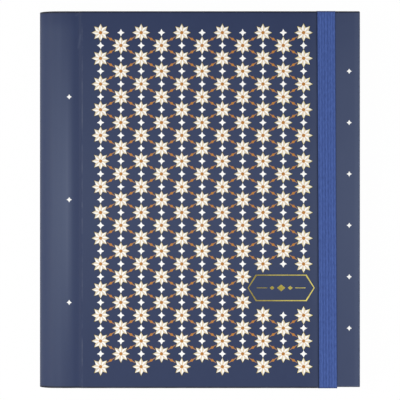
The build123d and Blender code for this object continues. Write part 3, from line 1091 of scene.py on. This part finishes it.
def makeTrellisTree():
    tree, given, result = openPieceTree("trellisPrint", {
        "columns": 4, "rows": 4, "pitchX": 0.01, "pitchY": 0.01, "raise": 0.0, "centre": (0, 0, 0),
        "reach": 0.1, "gapCentre": (0, 0, 0), "gapHalf": (0, 0, 0)})
    lastColumn = minus(given["columns"], 1.0)
    grid = shapeNode(tree, "MeshGrid", {
        "Size X": times(lastColumn, given["pitchX"]), "Vertices X": given["columns"],
        "Size Y": times(minus(given["rows"], 1.0), given["pitchY"]), "Vertices Y": given["rows"]})
    spot = tree.nodes.new("GeometryNodeInputPosition").outputs[0]
    column = plus(mathNode("DIVIDE", axes(spot)["X"], given["pitchX"]), times(lastColumn, 0.5))
    odd = mathNode("MODULO", mathNode("ROUND", column), 2.0)  # every other column is half a row up
    upward = times(plus(times(odd, 0.5), given["raise"]), given["pitchY"])
    shift = vectorNode("ADD", vectorOf(tree, {"Y": upward}), given["centre"])[0]
    moved = shapeNode(tree, "SetPosition", {"Geometry": grid, "Offset": shift})

    def distances(centre):
        return axes(vectorNode("ABSOLUTE", vectorNode("SUBTRACT", spot, centre)[0])[0])

    gapHalf = axes(given["gapHalf"])
    fromGap = distances(given["gapCentre"])
    beyond = mathNode("GREATER_THAN", distances(given["centre"])["Y"], given["reach"])
    inGap = times(*(mathNode("LESS_THAN", fromGap[axis], gapHalf[axis]) for axis in ("X", "Y")))
    left = mathNode("MAXIMUM", beyond, inGap)
    kept = shapeNode(tree, "DeleteGeometry", {"Geometry": moved, "Selection": left})
    motifs = shapeNode(tree, "InstanceOnPoints", {"Points": kept, "Instance": given["Geometry"]})
    return closePieceTree(motifs, given, result)


trellisTree = makeTrellisTree()
creamInk = printInk("cream print", (0.87, 0.865, 0.84))
tanInk = printInk("tan print", (0.69, 0.58, 0.42))
ochreInk = printInk("ochre print", (0.42, 0.165, 0.018))
brownInk = printInk("brown print", (0.30, 0.16, 0.075))
plateX, plateY = plate["middle"]
foil = goldFoil("gold foil", plateX - plate["half"][0], plateX + plate["half"][0])


def printMotif(name, outlines, height, material, columns=trellis["columns"], raised=0.0):
    reach = (panelHigh.y - panelLow.y - trellis["endRoom"] * pitchY) / 2
    sizes = {
        "columns": columns, "rows": trellis["rows"], "pitchX": pitchX, "pitchY": pitchY, "raise": raised,
        "centre": (*panelMiddle, coverTop), "reach": reach,
        "gapCentre": (plateX, plateY, 0.0), "gapHalf": (*plate["clear"], 0.0)}
    treePiece(name, raisedFaces(outlines, height), trellisTree, sizes, "front_cover", "cover_paper", material)


eye = [polar(trellis["eye"], 2 * math.pi * k / trellis["eyeSides"]) for k in range(trellis["eyeSides"])]
printMotif("print_star_light", starHalves(0), relief, creamInk)
printMotif("print_star_shade", starHalves(1), relief, tanInk)
printMotif("print_star_outline", starOutline(), relief, foil)
printMotif("print_star_eye", [eye], relief * trellis["eyeRelief"], ochreInk)
gaps = trellis["columns"] - 1
lozengeRelief = relief * trellis["lozengeRelief"]
for label, sign in (("rising", 1), ("falling", -1)):
    bar, lozenge = barShapes(sign)
    printMotif("print_bars_" + label, [bar], relief, brownInk, gaps, sign / 4)
    printMotif("print_lozenges_" + label, [lozenge], lozengeRelief, ochreInk, gaps, sign / 4)
printMotif("print_small_star", [starRim(*trellis["smallStar"])], relief, creamInk, raised=0.5)


def lay(name, outlines, height, lift, material):
    mesh = raisedFaces(outlines, height)
    for vert in mesh.vertices:
        vert.co.z += coverTop + lift
    return place(name, mesh, "front_cover", "cover_paper", material)


def plateOutline(shrink):
    halfX, halfY = plate["half"][0] - shrink, plate["half"][1] - shrink
    left, right = plateX - halfX, plateX + halfX
    point = plate["point"]
    return [(left, plateY), (left + point, plateY - halfY), (right - point, plateY - halfY), (right, plateY),
            (right - point, plateY + halfY), (left + point, plateY + halfY)]


def plateOrnament():
    shapes = []
    for shift, half in plate["lozenges"].items():
        x, tall = plateX + shift, half * plate["lozengeHeight"]
        shapes.append([(x - half, plateY), (x, plateY - tall), (x + half, plateY), (x, plateY + tall)])
    low, high = plateY - plate["lineHalf"], plateY + plate["lineHalf"]
    for sign in (-1, 1):
        left, right = sorted(plateX + sign * end for end in plate["lines"])
        shapes.append([(left, low), (right, low), (right, high), (left, high)])
    return shapes


def strayStars(x, rows):
    rim = starRim(*trellis["strayStar"])
    return [[(x + dx, panelLow.y + row * pitchY + dy) for dx, dy in rim] for row in rows]


sink = trellis["straySink"]
strayPlaces = {"spine": crownX, "fore_edge": (bandHigh.x + frontHigh.x) / 2 + trellis["strayShift"]}
for side, x in strayPlaces.items():
    lay("print_stray_" + side, strayStars(x, trellis["strayRows"][side]), relief + sink, -sink, creamInk)
rule = plate["rule"]
foilRule = between(plateOutline(rule), plateOutline(2 * rule))
lay("title_plate", [plateOutline(0.0)], plate["lift"], 0.0, frontNavy)
lay("title_foil", foilRule + plateOrnament(), relief, plate["lift"], foil)
print("front panel printed")


# 8. floor, light and camera
studio = {
    "floorSize": 6.0,
    "floorDrop": 0.2 * mm,
    "floorColour": (0.9, 0.9, 0.9, 1.0),
    "floorRough": 0.9,
    "floorGlow": 0.98,
    "ambient": 0.3,
    "ceiling": (0.2, 0.75, 1.0, 0.4),  # white sweep below, dimmer overhead: heights, then strengths
    "flags": (0.3, 0.8, 1.0, 0.1),  # dark beyond head and tail
    "lamps": {
        "keyLeft": {"at": (-0.95, -0.05, 1.05), "power": 16.0, "size": 1.2},
        "fillTail": {"at": (0.15, -1.0, 1.1), "power": 8.0, "size": 0.6},
        "rimRight": {"at": (1.2, -0.1, 0.4), "power": 7.0, "size": 0.4},
    },
    "cameraDistance": 1.1,
    "frameWidth": 229.05 * mm,
    "cameraAt": (0.43 * mm, -0.185 * mm),
    "sensor": 36.0,
}


def lightPath(tree):
    path = tree.nodes.new("ShaderNodeLightPath").outputs
    return path["Is Camera Ray"], mathNode("MAXIMUM", path["Is Glossy Ray"], path["Is Transmission Ray"])


def makeFloor():
    half = studio["floorSize"] / 2
    corners = [(x * half, y * half, -studio["floorDrop"]) for x, y in ((-1, -1), (1, -1), (1, 1), (-1, 1))]
    floor = linkPiece("floor", makeMesh("floor", corners, [(0, 1, 2, 3)]))
    material = bpy.data.materials.new("white floor")
    material.use_nodes = True
    tree = material.node_tree
    shader = tree.nodes["Principled BSDF"]
    shader.inputs["Base Color"].default_value = studio["floorColour"]
    shader.inputs["Roughness"].default_value = studio["floorRough"]
    matt = shader.outputs[0]
    glow = addNode(tree, "ShaderNodeEmission", {"Strength": 1.0})[0]
    white = addNode(tree, "ShaderNodeMixShader", {0: studio["floorGlow"], 1: matt, 2: glow})[0]
    # it glows only for the camera and in reflections
    seen = mathNode("MAXIMUM", *lightPath(tree))
    surface = addNode(tree, "ShaderNodeMixShader", {0: seen, 1: matt, 2: white})[0]
    join(surface, tree.nodes["Material Output"].inputs["Surface"])
    floor.data.materials.append(material)


def makeWorld():
    world = bpy.data.worlds.new("studio")
    world.use_nodes = True
    bpy.context.scene.world = world
    tree = world.node_tree
    direction = axes(tree.nodes.new("ShaderNodeTexCoord").outputs["Generated"])
    ceiling = mapped(direction["Z"], *studio["ceiling"])
    flags = mapped(absolute(direction["Y"]), *studio["flags"])
    toCamera, mirrored = lightPath(tree)
    sweep = times(ceiling, flags)
    strength = addNode(tree, "ShaderNodeMix", {0: mirrored, 2: studio["ambient"], 3: sweep})[0]
    strength = addNode(tree, "ShaderNodeMix", {0: toCamera, 2: strength, 3: 1.0})[0]
    white = addNode(tree, "ShaderNodeBackground", {"Color": (1, 1, 1, 1), "Strength": strength})[0]
    join(white, tree.nodes["World Output"].inputs["Surface"])


def makeLamps():
    aim = Vector((0, 0, coverTop))
    for name, lamp in studio["lamps"].items():
        data = bpy.data.lights.new(name, "AREA")
        data.energy = lamp["power"]
        data.size = lamp["size"]
        obj = linkPiece(name, data)
        obj.location = lamp["at"]
        obj.rotation_euler = (aim - obj.location).to_track_quat("-Z", "Y").to_euler()


def makeCamera():
    data = bpy.data.cameras.new("camera")
    data.sensor_width = studio["sensor"]
    data.lens = data.sensor_width * studio["cameraDistance"] / studio["frameWidth"]
    camera = linkPiece("camera", data)
    camera.location = (*studio["cameraAt"], coverTop + studio["cameraDistance"])
    bpy.context.scene.camera = camera


makeFloor()
makeWorld()
makeLamps()
makeCamera()
bpy.context.scene.view_settings.view_transform = "Standard"
print("studio set")
